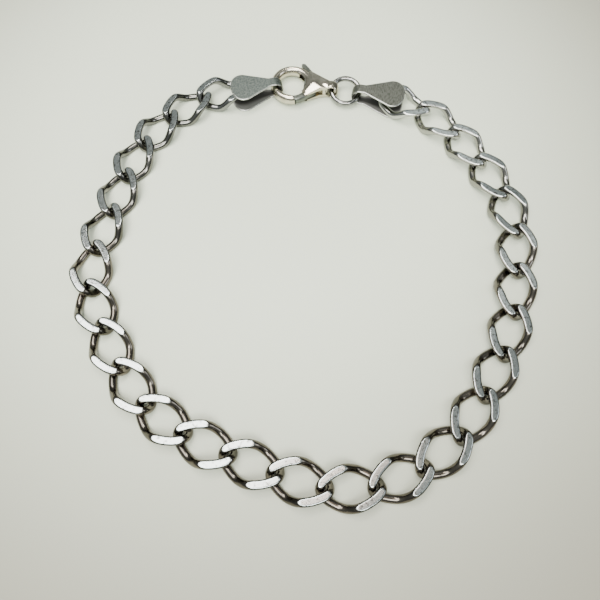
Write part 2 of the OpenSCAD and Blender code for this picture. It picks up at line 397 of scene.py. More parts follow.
def tag_rows():
    """x, half width and outward normal, one row each from the tip to the fold. On the
    round end x = X + L c(a), h = W / 2 s(a), with c and s as cosine and sine raised to
    a power a little under 1."""
    angle = END_START * (1 - np.cos(np.linspace(0, np.pi / 2, ROUND_ROWS)))
    c, s = cos_deg(angle), sin_deg(angle)
    round_x = WIDE_X + TAG_END_L * np.sign(c) * np.abs(c) ** END_SQUARENESS
    round_h = TAG_W / 2 * s**END_SQUARENESS
    share = np.linspace(0, 1, SIDE_ROWS + 1)[1:]
    side_x = round_x[-1] + (NECK_X - round_x[-1]) * share
    side_h = round_h[-1] + (NECK_W / 2 - round_h[-1]) * share
    neck_x = np.linspace(NECK_X, 0, NECK_ROWS + 1)[1:]
    x = np.concatenate([round_x, side_x, neck_x])
    half = np.concatenate([round_h, side_h, np.full(NECK_ROWS, NECK_W / 2)])
    dx, dh = np.gradient(x), np.gradient(half)
    size = np.hypot(dx, dh)
    normal_x, normal_y = dh / size, -dx / size
    normal_x[0], normal_y[0] = 1, 0
    normal_x[-NECK_ROWS:], normal_y[-NECK_ROWS:] = 0, 1
    return x, half, normal_x, normal_y


print("a tag's outline has", len(tag_rows()[0]), "rows on each side")

# %% [markdown]
# ## Folding the strip
#
# The surface follows the strip: rows run from one round end over the fold to the other,
# and columns run round the strip's thin section, across one face, round a bevelled rim,
# back across the other face and round the other rim.

# %% Tag surface
FACE_SHARE = np.array([-0.985, -0.8, -0.5, -0.2, 0.2, 0.5, 0.8, 0.985])
# Four parts with as many columns each: face, rim, face and rim. A rim's first and last
# columns still lie level with a face.
COLUMNS = len(FACE_SHARE)
RIM_COLUMNS = [slice(k * COLUMNS + 1, (k + 1) * COLUMNS - 1) for k in (1, 3)]
BEVEL, BEVEL_FALL, FOLD_ROWS = 0.18, 0.11, 24


def strip_section():
    """Round the section: share of the half width, inset from the rim, and height."""
    h = STRIP_T / 2
    arc = np.array([0, 30, 60, 90])
    face = np.ones(COLUMNS)
    share = np.concatenate([FACE_SHARE, face, FACE_SHARE[::-1], -face])
    inset_arc = BEVEL * (1 - sin_deg(np.concatenate([arc, arc[::-1]])))
    height_arc = np.concatenate([
        h - BEVEL_FALL * (1 - cos_deg(arc)), BEVEL_FALL * (1 - cos_deg(arc[::-1])) - h
    ])
    inset = np.concatenate([BEVEL * face, inset_arc, BEVEL * face, inset_arc])
    height = np.concatenate([h * face, height_arc, -h * face, -height_arc])
    return share, inset, height


def tag_surface():
    """p = middle line + share (half width - inset) across + height outwards. Along the
    fold the middle line is x = -R sin(f), z = R cos(f)."""
    x, half, nx, ny = tag_rows()
    fold = np.linspace(0, 180, FOLD_ROWS + 2)[1:-1]
    level = FOLD_R - STRIP_T / 2
    plate, none = np.ones_like(x), np.zeros_like(fold)
    base_x = np.concatenate([x, -level * sin_deg(fold), x[::-1]])
    base_z = np.concatenate([level * plate, level * cos_deg(fold), -level * plate])
    out_x = np.concatenate([0 * x, -sin_deg(fold), 0 * x])
    out_z = np.concatenate([plate, cos_deg(fold), -plate])
    half = np.concatenate([half, none + NECK_W / 2, half[::-1]])
    nx = np.concatenate([nx, none, nx[::-1]])
    ny = np.concatenate([ny, none + 1, ny[::-1]])
    share, inset, height = strip_section()
    y = share * np.maximum(half[:, None] - inset * ny[:, None], 0)
    px = base_x[:, None] - inset * nx[:, None] + height * out_x[:, None]
    pz = base_z[:, None] + height * out_z[:, None]
    return np.stack([px, y, pz], axis=-1)


def lathe(profile, middle, columns=32):
    """A closed solid of revolution: x = r cos v, y = r sin v, z from the profile."""
    profile = np.array(profile)
    v = np.linspace(0, 360, columns, endpoint=False)[None, :]
    r, z = profile[:, :1], profile[:, 1:]
    return np.stack([r * cos_deg(v), r * sin_deg(v), z + 0 * v], axis=-1) + middle


print("a tag's strip has", tag_surface().shape[:2], "rows and columns")

# %% [markdown]
# ## Two end tags
#
# A tag's fold sits where it holds the claw or the jump ring, and the tag swings a
# little beside the line to its link. The post stands where the link's end is, so it is
# set back by the same swing. Points also keep whether they lie on the rim, and how near
# to it they are: the worn rim is painted bright as a highlight, and the strip inside the
# fold is painted black as shade, lighter near the rim.

# %% End tags
CLAW_EYE, RING_EYE = (-2.88, -0.9), (2.4, -0.72)
CLAW_SWING, RING_SWING = 9, -1
POST_ROWS = (-1, 0, 1)


def post(middle):
    """The hidden post between the plates, a cylinder with closed ends."""
    r, top = POST_D / 2, TAG_GAP / 2 + STRIP_T / 2
    levels = [-top, *POST_ROWS, top]
    return lathe([(0, -top), *[(r, z) for z in levels], (0, top)], [*middle, 0])


def tag(name, node, eye, link_end, swing):
    """Puts a tag's fold at eye and swings it beside the line to the link's end."""
    span = link_end - eye
    toward = math.degrees(math.atan2(span[1], span[0]))
    strip, pin = tag_surface(), post(along(-swing, np.linalg.norm(span)))
    local = np.vstack([strip.reshape(-1, 3), pin.reshape(-1, 3)])
    rim = np.zeros(strip.shape[:2])
    for columns in RIM_COLUMNS:
        rim[:, columns] = 1
    edge = np.tile(np.abs(strip_section()[0]), (strip.shape[0], 1))
    none = np.zeros(pin.shape[0] * pin.shape[1])
    piece = make_mesh(
        name,
        [quads_of(turned(part, toward + swing) + [*eye, TAG_MID_Z]) for part in (strip, pin)],
        along=local[:, 0],
        across=local[:, 1],
        height=local[:, 2],
        rim=np.concatenate([rim.ravel(), none]),
        edge=np.concatenate([edge.ravel(), none]),
    )
    return seat(piece, node)


first_end = places[0] - along(headings[0], POST_X)
last_end = places[-1] + along(headings[-1], POST_X)
claw_tag = tag(
    "folded_tag_claw_side", "tag_claw_side", clasp_point(*CLAW_EYE), first_end, CLAW_SWING
)
ring_tag = tag(
    "folded_tag_ring_side", "tag_ring_side", ring_middle + RING_EYE, last_end, RING_SWING
)
print("tags made:", claw_tag.name, ring_tag.name)

# %% [markdown]
# ## The clasp's round section
#
# The claw and the gate are bars whose section is a soft oval. Such a section is carried
# round an arc, which is how a ring could be bent from a bar. The claw's opening is
# longer than wide, so the arc's two halves are moved a little apart. A bar's ends are
# closed with a point in the middle of the end ring.

# %% Section and sweep
CLASP_Z = 1.3
CLAW_R, CLAW_W, CLAW_T, CLAW_SHIFT = 2.9, 1.3, 1.7, 0.15
SECTION_POWER, SHIFT_BLEND = 2 / 2.05, 0.05


def signed_power(value, power):
    """The value raised to a power, with its sign kept."""
    return np.sign(value) * np.abs(value) ** power


def stadium(width, height, count=36):
    """Closed section: |x / a| ^ p + |z / b| ^ p = 1, a little rounder than a box."""
    v = np.linspace(0, 360, count, endpoint=False)
    x = width / 2 * signed_power(cos_deg(v), SECTION_POWER)
    z = height / 2 * signed_power(sin_deg(v), SECTION_POWER)
    return np.stack([x, z], axis=1)


def cap_ends(points):
    """Closes a bar: before the first ring and after the last comes its middle point."""
    caps = [ring.mean(axis=1, keepdims=True) for ring in (points[:1], points[-1:])]
    first, last = [np.repeat(cap, points.shape[1], axis=1) for cap in caps]
    return np.vstack([first, points, last])


def arc_sweep(section, angles):
    """The section (out, up) carried round the claw: x = (R + out) cos u,
    y = (R + out) sin u, moved up where sin u is above 0 and down where it is below."""
    u = np.asarray(angles, float)[:, None]
    out, up = CLAW_R + section[None, :, 0], section[None, :, 1]
    shift = CLAW_SHIFT * np.clip(sin_deg(u) / SHIFT_BLEND, -1, 1)
    return np.stack([out * cos_deg(u), out * sin_deg(u) + shift, up + 0 * u], axis=-1)


print("the claw's section is", np.ptp(stadium(CLAW_W, CLAW_T), axis=0).round(2), "mm")

# %% [markdown]
# ## Claw
#
# The claw runs from the shoulder round to the mouth, where the gate shuts against it.
# The mouth is a slanted slit. Points that would lie past it slide back along the claw
# until they meet its plane, so the cut is flat and the grid stays regular. Beside the
# body the claw is split in an upper and a lower half, with the lever's slot between.
# The slot ends past the place where the thumb tab leaves it.

# %% Claw and half rings
MOUTH, MOUTH_LEAN, MOUTH_GAP = np.array([0.45, -3.0]), 44, 0.14
SLOT, GATE_ROOM = 0.51, 0.66
SLOT_END, JOIN_OVERLAP = 66, 4
CLAW_BACK, CLAW_END, MOUTH_SIDE = 180, 292, 250
ARC_ROWS, UPPER_ROWS, LOWER_ROWS = 60, 34, 20
LOWER_START = -40


def beyond_mouth(points):
    """How far each point lies beyond the middle plane of the mouth: (p - M) . n."""
    return (points[..., :2] - MOUTH) @ along(MOUTH_LEAN)


def slide(points, angles, amount):
    """Points moved along the claw until they are amount further across the mouth's
    plane: p' = p + amount / (ahead . n) ahead."""
    ahead = np.stack([-sin_deg(angles), cos_deg(angles)], axis=1)
    share = amount / (ahead @ along(MOUTH_LEAN))[:, None]
    points[..., :2] += share[..., None] * ahead[:, None, :]
    return points


def claw_surface():
    """The full section swept from the slot's end to the mouth, and cut off there."""
    upper = np.linspace(SLOT_END, CLAW_BACK, ARC_ROWS)
    lower = np.linspace(CLAW_BACK, CLAW_END, ARC_ROWS)[1:]
    angles = np.concatenate([upper, lower])
    points = arc_sweep(stadium(CLAW_W, CLAW_T), angles)
    past = beyond_mouth(points) + MOUTH_GAP / 2
    past[angles < MOUTH_SIDE] = -1
    points = slide(points, angles, -np.maximum(past, 0))
    last = int(np.argmax((past > 0).all(axis=1))) + 1
    return cap_ends(points[:last])


def half_ring(base, angles):
    """The section swept with its lower part raised to the slot: z' = max(z, base)."""
    section = stadium(CLAW_W, CLAW_T)
    section[:, 1] = np.maximum(section[:, 1], base)
    return cap_ends(arc_sweep(section, angles))


upper_angles = np.linspace(0, SLOT_END + JOIN_OVERLAP, UPPER_ROWS)
lower_angles = np.linspace(LOWER_START, 0, LOWER_ROWS)
half_rings = [
    half_ring(base, angles) * [1, 1, side]
    for side in (1, -1)
    for base, angles in ((SLOT, upper_angles), (GATE_ROOM, lower_angles))
]
print("claw rows:", claw_surface().shape[0], "half rings:", len(half_rings))

# %% [markdown]
# ## The body's faceted crown
#
# The body is cast with soft facets, which a polishing wheel has rounded. Its face is
# worked out as a height over its plan: each facet is a sloping plane, and the face
# takes the lowest of them. A blended least, instead of a sharp one, gives the polished
# edges. There are two humps, one over the body and one over the tail's neck, and the
# higher of them counts.

# %% Crown
CROWN_Z, NECK_Z, EDGE_SOFTNESS = 1.3, 1.27, 0.03
BODY_TOP, TAIL_TOP = (3.48, 0.32), (5.43, 0.26)
# Each facet falls in a direction, in degrees, by so much for each millimetre
BODY_FACETS = [(250, 0.2), (37, 0.2), (78, 0.21), (171, 0.5)]
TAIL_FACETS = [(262, 0.25), (170, 0.35), (80, 0.3), (5, 0.2)]


def soft_least(heights):
    """A blended least: -k log(sum(exp(-h / k)))."""
    stack = np.stack(heights)
    return -EDGE_SOFTNESS * np.log(np.exp(-stack / EDGE_SOFTNESS).sum(axis=0))


def facet(x, y, apex, toward, fall):
    """A plane through the apex: z = top - fall * (distance from it in a direction)."""
    away = (x - apex[0]) * cos_deg(toward) + (y - apex[1]) * sin_deg(toward)
    return CROWN_Z - fall * away


def hump(x, y, apex, facets, top):
    """The blended least of the facets round an apex and of a flat top."""
    planes = [facet(x, y, apex, toward, fall) for toward, fall in facets]
    return soft_least([*planes, top + 0 * x])


def crown(x, y):
    """The blended most of the two humps: -least(-first, -second)."""
    first = hump(x, y, BODY_TOP, BODY_FACETS, CROWN_Z)
    second = hump(x, y, TAIL_TOP, TAIL_FACETS, NECK_Z)
    return -soft_least([-first, -second])


print("crown over the body:", crown(np.array(BODY_TOP[0]), np.array(BODY_TOP[1])).round(2))

# %% [markdown]
# ## The body's two shells
#
# The body is a shell above the lever's slot and one below it. The plan starts as a few
# corners, is shared out evenly, and is then averaged with its neighbours a few times,
# which rounds the corners as a file would. A shell's rows run from the middle of its
# inner face out to the rim, up the wall, and back in over the crown.

# %% Shells
SHELL_CORNERS = np.array([
    (2.3, 2.72), (2.75, 2.72), (3.4, 2.38), (4.6, 1.72), (5.8, 1.02), (6.3, 0.72),
    (6.4, 0), (6.3, -0.7), (5.6, -0.8), (4.75, -0.98), (2.62, -2.42), (2.3, -2.42),
    (2.12, -1.9), (2.2, -1), (2.3, 0), (2.2, 1.2),
])
SHELL_MIDDLE, SHELL_POINTS, SHELL_ROUNDS = np.array([3.7, -0.1]), 200, 6
TAIL_X, EYE_R, TAIL_R, TAIL_HALF_W = 6.5, 0.92, 1.3, 0.75
GATE_ROOM_X, RIM_DROP = 2.8, 0.09
INNER_SHARE = np.array([0, 0.5, 0.9, 0.97])
WALL_SHARE = np.array([0, 0.1, 0.5, 0.9])
CROWN_SHARE = np.array([1, 0.985, 0.96, 0.9, 0.8, 0.7, 0.6, 0.5, 0.4, 0.3, 0.2, 0.1, 0])
ROUND_OFF = np.zeros(len(CROWN_SHARE))
ROUND_OFF[:2] = 0.055, 0.02


def closed_line(corners, count, rounds):
    """Evenly spaced points round the corners, each then replaced, a few times over, by
    (before + 2 * itself + after) / 4."""
    closed = np.vstack([corners, corners[:1]])
    sides = np.linalg.norm(np.diff(closed, axis=0), axis=1)
    length = np.concatenate([[0], np.cumsum(sides)])
    at = np.linspace(0, length[-1], count, endpoint=False)
    line = np.stack([np.interp(at, length, closed[:, k]) for k in (0, 1)], axis=1)
    for _ in range(rounds):
        line = (np.roll(line, 1, axis=0) + 2 * line + np.roll(line, -1, axis=0)) / 4
    return line


def shell_plan():
    """Plan of all rows: middle + share * (outline - middle), with the wall's on the
    outline itself."""
    line = closed_line(SHELL_CORNERS, SHELL_POINTS, SHELL_ROUNDS)
    shares = np.concatenate([INNER_SHARE, np.ones(len(WALL_SHARE)), CROWN_SHARE])
    return SHELL_MIDDLE + shares[:, None, None] * (line - SHELL_MIDDLE)


def shell_surface(side):
    """One shell, side 1 above the slot and -1 below it: z is the slot's height below,
    raised to the eye's circle at the tail, then a mix of both up the wall, and the
    crown's height above."""
    x, y = np.moveaxis(shell_plan(), -1, 0)
    room = np.where((y < 0) & (x < GATE_ROOM_X), GATE_ROOM, SLOT)
    eye = np.sqrt(np.maximum(0, EYE_R**2 - (x - TAIL_X) ** 2))
    under, over = np.maximum(room, eye), crown(x, y)
    first = len(INNER_SHARE)
    last = first + len(WALL_SHARE)
    share = WALL_SHARE[:, None]
    wall = under[first:last] * (1 - share) + (over[first] - RIM_DROP) * share
    z = np.vstack([under[:first], wall, over[last:] - ROUND_OFF[:, None]])
    return np.stack([x, y, side * np.maximum(z, under)], axis=-1)


print("a shell has", shell_surface(1).shape[:2], "rows and columns")

# %% [markdown]
# ## The tail's eye and the clasp's body
#
# The tail ends in an upright eye for the jump ring: a flat band bent into a ring whose
# axis runs across the clasp. A rounded block inside joins the two shells, as the
# casting's solid neck does. Faces that meet at a right angle, such as a bar's cut end,
# are marked sharp, because smooth shading would smear a dark line round them.

# %% Clasp body
EYE_ROWS, EYE_COLUMNS = 72, 32
NECK_MIDDLE, NECK_HALF, NECK_POWER = [5.42, 0.02, 0], [0.32, 0.85, 0.7], 0.35
NECK_ROWS_UP, NECK_COLUMNS = 25, 48
SHARP_ANGLE = 60


def tail_surface():
    """x = X + (R + out) cos u, y = up, z = (R + out) sin u, round the band's section."""
    u = np.linspace(0, 360, EYE_ROWS, endpoint=False)[:, None]
    section = stadium(TAIL_R - EYE_R, 2 * TAIL_HALF_W, EYE_COLUMNS)
    radius = (TAIL_R + EYE_R) / 2 + section[None, :, 0]
    across = section[None, :, 1] + 0 * u
    return np.stack([TAIL_X + radius * cos_deg(u), across, radius * sin_deg(u)], axis=-1)


def neck_surface():
    """A rounded block: x = a c(u) c(v), y = b c(u) s(v), z = c s(u), where c and s are
    cosine and sine raised to a small power with their sign kept."""
    u = np.linspace(-90, 90, NECK_ROWS_UP)[:, None]
    v = np.linspace(0, 360, NECK_COLUMNS, endpoint=False)[None, :]
    flat = signed_power(cos_deg(u), NECK_POWER)
    x = NECK_HALF[0] * flat * signed_power(cos_deg(v), NECK_POWER)
    y = NECK_HALF[1] * flat * signed_power(sin_deg(v), NECK_POWER)
    z = NECK_HALF[2] * signed_power(sin_deg(u), NECK_POWER) + 0 * v
    return np.stack([x, y, z], axis=-1) + NECK_MIDDLE


def to_clasp(points):
    """From the clasp's own frame to the bracelet's."""
    return turned(points, CLASP_HEADING) + [*CLASP_PLACE, CLASP_Z]


def clasp_piece(name, node, body, surfaces):
    """One piece of the clasp, from surfaces in the clasp's own frame."""
    piece = make_mesh(name, [quads_of(to_clasp(points)) for points in surfaces])
    piece.data.set_sharp_from_angle(angle=math.radians(SHARP_ANGLE))
    return seat(piece, node, body)


body_surfaces = [
    claw_surface(), *half_rings, shell_surface(1), shell_surface(-1), neck_surface()
]
clasp_body = clasp_piece(
    "lobster_clasp_body", "clasp_body", "bracelet", body_surfaces
)
tail_band = quads_of(to_clasp(tail_surface()), close_rows=True)
tail = seat(make_mesh("clasp_tail_eye", [tail_band]), "clasp_body")
print("clasp body:", len(clasp_body.data.vertices), "points")

# %% [markdown]
# ## Lever
#
# The lever is duller than the cast body. Its gate carries on the claw's curve and closes
# the mouth, and its thumb tab shows above the shoulder. The arm and the tab are flat
# plates with a small bevel all round: rows run out over one face, round the rim and
# back. The gate is the claw's sweep again, with a squarer section.

# %% Gate and plates
PIVOT, LEVER_T, GATE_W, GATE_T = np.array([3.5, -0.9]), 0.9, 1.15, 1.2
THUMB_TIP, THUMB_BASE = np.array([1.3, 4.5]), np.array([3.3, 2.65])
GATE_ANGLES, GATE_COLUMNS, GATE_SWELL = np.linspace(-92, -44, 50), 40, 1.12
PLATE_BEVEL, PLATE_POINTS, PLATE_ROUNDS = 0.06, 160, 3
PLATE_SHARE, PLATE_ARC = np.array([0, 0.5, 0.98]), np.linspace(0, 90, 4)


def gate_surface():
    """The claw's sweep with a section swollen and then cut to a box, from the mouth's
    slanted plane to the arm."""
    section = stadium(GATE_W, GATE_T, GATE_COLUMNS)
    swollen = np.minimum(np.abs(section) * GATE_SWELL, [GATE_W / 2, GATE_T / 2])
    points = arc_sweep(np.sign(section) * swollen, GATE_ANGLES)
    short = MOUTH_GAP / 2 - beyond_mouth(points)
    points = slide(points, GATE_ANGLES, np.maximum(short, 0))
    first = max(int(np.argmin((short > 0).all(axis=1))) - 1, 0)
    return cap_ends(points[first:])


def plate_surface(corners):
    """A flat plate over a polygon. On the rim p = line - b (1 - sin a) outwards and
    z = T / 2 - b (1 - cos a); the second half is the first, mirrored and backwards."""
    line = closed_line(corners, PLATE_POINTS, PLATE_ROUNDS)
    middle = line.mean(axis=0)
    ahead = np.roll(line, -1, axis=0) - np.roll(line, 1, axis=0)
    outwards = np.stack([ahead[:, 1], -ahead[:, 0]], axis=1)
    outwards /= np.linalg.norm(outwards, axis=1)[:, None]
    inset = PLATE_BEVEL * (1 - sin_deg(PLATE_ARC))[:, None, None]
    rim = line - inset * outwards
    face = middle + PLATE_SHARE[:, None, None] * (line - PLATE_BEVEL * outwards - middle)
    plan = np.concatenate([face, rim])
    fall = PLATE_BEVEL * np.concatenate([0 * PLATE_SHARE, 1 - cos_deg(PLATE_ARC)])
    height = (LEVER_T / 2 - fall)[:, None, None] + 0 * plan[..., :1]
    upper = np.concatenate([plan, height], axis=-1)
    return np.concatenate([upper, upper[::-1] * [1, 1, -1]])


print("the gate has", gate_surface().shape[0], "rows")

# %% [markdown]
# ## Putting the lever together
#
# Seen from above, the arm joins the gate to the pivot, and the plate joins the pivot to
# the thumb tab. Both outlines are a few corners, given from the pivot or from the tab's
# tip where they belong to them. The lever rides on its own body, so it swings with the
# hinge while everything else stays.

# %% Lever
arm_corners = np.array([
    PIVOT + [-0.6, 0.6], [1.85, -1.75], [1.72, -1.95], [2.05, -2.42], [2.35, -2.45],
    PIVOT + [0.2, -0.45], PIVOT + [0.5, -0.15], PIVOT + [0.5, 0.35],
])
thumb_corners = np.array([
    [1.97, -1.5], [3.4, -1.55], [4.15, -0.9], THUMB_BASE + [0.55, -2.15], THUMB_BASE,
    THUMB_TIP + [0.4, -0.1], THUMB_TIP, THUMB_TIP - [0.3, 0.25], [2.15, 2.5], [1.95, 1.4],
])
lever = clasp_piece(
    "lobster_clasp_lever",
    "clasp_lever",
    "lever",
    [gate_surface(), plate_surface(arm_corners[::-1]), plate_surface(thumb_corners)],
)
print("lever:", len(lever.data.vertices), "points")

# %% [markdown]
# ## Shader maths written as Python
#
# A material is a sheet of nodes. Placing dozens of Math nodes by hand is slow to write
# and to read, so a small class stands for a number on the sheet: adding two of them
# puts an Add node there and returns its result. The forms with r in front make 1 - mask
# work too, where the plain number comes first.


# %% Values
class Value:
    """A number on a sheet of nodes."""

    def __init__(self, sheet, socket):
        self.sheet, self.socket = sheet, socket

    def __add__(self, other):
        return self.sheet.maths("ADD", self, other)

    def __sub__(self, other):
        return self.sheet.maths("SUBTRACT", self, other)

    def __mul__(self, other):
        return self.sheet.maths("MULTIPLY", self, other)

    def __lt__(self, other):
        return self.sheet.maths("LESS_THAN", self, other)

    def __abs__(self):
        return self.sheet.maths("ABSOLUTE", self)

    def __radd__(self, other):
        return self.sheet.maths("ADD", other, self)

    def __rsub__(self, other):
        return self.sheet.maths("SUBTRACT", other, self)

    def __rmul__(self, other):
        return self.sheet.maths("MULTIPLY", other, self)


print("signs that put nodes on a sheet: + - * < abs")

# %% [markdown]
# ## A sheet of nodes
#
# Every node comes from one method, which sets a node's own settings first and then
# gives its sockets a value or a link. The same kind of sheet serves a material and the
# light of the room. A soft step is the tool used most: it goes from one number to
# another while a value passes between two limits.


# %% Sheets
def set_stops(points, stops):
    """Gives a colour ramp its stops, each a position and a colour."""
    while len(points) < len(stops):
        points.new(0.5)
    for point, (position, colour) in zip(points, stops):
        point.position, point.color = position, (*colour, 1)


class Sheet:
    """The nodes of a material or of the world, with short ways to place and join them."""

    def __init__(self, owner):
        owner.use_nodes = True
        self.owner, self.tree = owner, owner.node_tree

    def node(self, kind, settings=None, sockets=None):
        """A new node: first its settings, then values or links for its sockets."""
        made = self.tree.nodes.new("ShaderNode" + kind)
        for key, value in (settings or {}).items():
            if key == "stops":
                set_stops(made.color_ramp.elements, value)
            else:
                setattr(made, key, value)
        for key, value in (sockets or {}).items():
            self.feed(made.inputs[key], value)
        return made

    def feed(self, socket, value):
        """A socket gets a link from a value or an output, or else a plain number."""
        source = value.socket if isinstance(value, Value) else value
        if isinstance(source, bpy.types.NodeSocket):
            self.tree.links.new(source, socket)
        else:
            socket.default_value = source

    def maths(self, operation, *values):
        """The result of a Math node on one or two values."""
        made = self.node("Math", {"operation": operation}, dict(enumerate(values)))
        return Value(self, made.outputs[0])

    def part(self, vector, axis):
        """The X, Y or Z of a vector."""
        made = self.node("SeparateXYZ", None, {"Vector": vector})
        return Value(self, made.outputs[axis])

    def steps(self, value, low, high, first=0.0, last=1.0):
        """Smoothly from first, where the value is low, to last, where it is high."""
        limits = {"From Min": low, "From Max": high, "To Min": first, "To Max": last}
        smooth = {"interpolation_type": "SMOOTHSTEP"}
        made = self.node("MapRange", smooth, {"Value": value, **limits})
        return Value(self, made.outputs["Result"])

    def finish(self, shader, **inputs):
        """Feeds the sheet's last node and returns what the sheet belongs to."""
        for key, value in inputs.items():
            self.feed(self.tree.nodes[shader].inputs[key.replace("_", " ")], value)
        return self.owner


print("a sheet can:", [name for name in vars(Sheet) if not name.startswith("_")])

# %% [markdown]
# ## What a finish is made of
#
# The finishes of this bracelet are made of a few things: clouds and brushed lines of
# noise, tones between two colours, and a small bump. Each gets a short name here.
# Patterns read a piece's place in the room or the coordinates kept on its points, so
# nothing moves when the camera does. A link's own coordinates are moved on by its
# number, so that no two links have the same scratches.

# %% Metal sheets
MIX_FIRST, MIX_SECOND, MIX_RESULT = 6, 7, 2
LINK_PHASE = 7.3


class MetalSheet(Sheet):
    """A new material's sheet, with the patterns that its finish is made of."""

    def __init__(self, name):
        super().__init__(bpy.data.materials.new(name))

    def attribute(self, name):
        """A number kept on the piece's points."""
        made = self.node("Attribute", {"attribute_name": name})
        return Value(self, made.outputs["Fac"])

    def place(self):
        """Object coordinates in millimetres."""
        where = self.node("TexCoord").outputs["Object"]
        sockets = {"Vector": where, "Scale": [1 / MM] * 3}
        return self.node("Mapping", None, sockets).outputs["Vector"]

    def local(self, scale):
        """The piece's own coordinates in millimetres: scale * coordinate + phase."""
        phase = LINK_PHASE * self.attribute("number")
        keys = zip(("along", "across", "height"), scale)
        own = {i: self.attribute(key) * s + phase for i, (key, s) in enumerate(keys)}
        return self.node("CombineXYZ", None, own).outputs["Vector"]

    def noise(self, vector, scale, detail, roughness=0.5):
        """Cloudy noise from 0 to 1; a larger scale makes it finer."""
        sockets = {"Vector": vector, "Scale": scale, "Detail": detail, "Roughness": roughness}
        return Value(self, self.node("TexNoise", None, sockets).outputs["Fac"])

    def tones(self, value, pair, start=0.3, end=0.7):
        """From a pair's first colour, up to start, to its second, from end on."""
        stops = [(start, pair[0]), (end, pair[1])]
        return self.node("ValToRGB", {"stops": stops}, {"Fac": value}).outputs["Color"]

    def mix(self, share, first, second):
        """The first colour where share is 0, and the second where it is 1."""
        sockets = {"Factor": share, MIX_FIRST: first, MIX_SECOND: second}
        return self.node("Mix", {"data_type": "RGBA"}, sockets).outputs[MIX_RESULT]

    def bump(self, height, strength, distance):
        """A bump whose full height is distance, in millimetres."""
        sockets = {"Height": height, "Strength": strength, "Distance": distance * MM}
        return self.node("Bump", None, sockets).outputs["Normal"]


def dress(piece, material):
    """Makes this the piece's only material."""
    piece.data.materials.clear()
    piece.data.materials.append(material)


print("a metal sheet adds:", [name for name in vars(MetalSheet) if not name.startswith("_")])

# %% [markdown]
# ## Chain silver
#
# The chain is old silver. Its wire is dark with tarnish, and lighter to the right. Far
# from the clasp it is painted darker still, as painted shade, so that it lightens towards
# the clasp, and the wire of the ring-side end link carries a painted highlight. Its ground
# flats are worn bright, with fine lines and small pits. One material covers all the
# links: it tells a flat from the wire by the height kept on each point, and it works out
# the wire's tone from the place in the room, so that the chain changes slowly from link
# to link.

# %% Chain finish
# Each pair is a darker and a lighter tone
DARK_WIRE = (0.09, 0.083, 0.07), (0.19, 0.165, 0.14)
LEFT_WIRE = (0.12, 0.12, 0.112), (0.21, 0.205, 0.19)
CLEAN_FLAT = (0.48, 0.52, 0.51), (0.66, 0.70, 0.69)
RIGHT_WIRE, PIT = (0.36, 0.355, 0.33, 1), (0.28, 0.29, 0.28, 1)
# The right end tone paints a highlight on the wire of the ring-side end link
LEFT_END, RIGHT_END_HIGHLIGHT = (0.24, 0.24, 0.235, 1), (0.5, 0.5, 0.48, 1)
# Between these two depths the wire goes from its own tone to a darker one, painted shade over
# its tarnish
UNSHADED_WIRE_Y, SHADED_WIRE_Y = 24, -8
LEFT_X, RIGHT_X = -8, 16
MIDDLE_LINK, END_FROM, END_TO = 14, 12.2, 12.8
WIRE_TOP, FLAT_LOW = 1.01, 1.07
FLAT_BRUSH, PIT_FROM, PIT_TO = (0.6, 9.0, 1.0), 0.53, 0.64


def wire_colour(s, cloud, far):
    """Brown-black far from the clasp, where painted shade darkens the tarnish, grey near it, and
    brighter for the end links, the ring-side one as a painted highlight.
    """
    right = s.steps(s.part(s.place(), "X"), LEFT_X, RIGHT_X)
    light = s.mix(right, s.tones(cloud, LEFT_WIRE), RIGHT_WIRE)
    # The end links get their own wire tone, which on the ring-side end is a painted highlight
    ends = s.steps(abs(s.attribute("number") - MIDDLE_LINK), END_FROM, END_TO)
    body = s.mix(far, light, s.tones(cloud, DARK_WIRE))
    return s.mix(ends, body, s.mix(right, LEFT_END, RIGHT_END_HIGHLIGHT))


def chain_silver():
    """Tarnished wire with brushed and pitted flats."""
    s = MetalSheet("chain_silver")
    worn = s.steps(s.attribute("height"), WIRE_TOP, FLAT_LOW)
    # Painted shade: 1 far from the clasp, where the wire is painted darker and is a little
    # rougher
    far = s.steps(s.part(s.place(), "Y"), UNSHADED_WIRE_Y, SHADED_WIRE_Y)
    lines = s.noise(s.local(FLAT_BRUSH), scale=1.5, detail=4)
    cloud = s.noise(s.place(), scale=0.35, detail=2)
    spots = s.noise(s.place(), scale=2.2, detail=4, roughness=0.65)
    pits = s.steps(spots, PIT_FROM, PIT_TO)
    face = s.mix(pits, s.tones(lines, CLEAN_FLAT), PIT)
    return s.finish(
        "Principled BSDF",
        Base_Color=s.mix(worn, wire_colour(s, cloud, far), face),
        Metallic=1.0,
        Roughness=0.12 + (0.03 * far + 0.05 * cloud) * (1 - worn) + 0.1 * lines * worn,
        Normal=s.bump((lines + pits) * s.attribute("ground"), strength=0.1, distance=0.012),
    )


chain_material = chain_silver()
for piece in links:
    dress(piece, chain_material)
print("links dressed:", len(links), "with", chain_material.name)

# %% [markdown]
# ## Tag silver
#
# The tags are dull sheet with a fine grain, and their rims are worn and painted bright
# as a highlight. The lower half of the strip, inside the fold, is painted black as
# shade, and greyer only near the rim. The claw-side tag is grained evenly and the other
# is brushed one way, which is the same noise stretched more in one direction.

# %% Tag finish
# Inside the fold the metal is made duller, for tarnish and for the painted shade there
ALL_METAL, TARNISH_AND_SHADE, NEAR_FROM, NEAR_TO = 1.0, 0.8, 0.35, 0.8
# Painted shade inside the fold: black deep in, greyer near the rim
FOLD_SHADE_DEEP, FOLD_SHADE_NEAR_RIM = (0.03, 0.028, 0.025, 1), (0.15, 0.15, 0.14, 1)
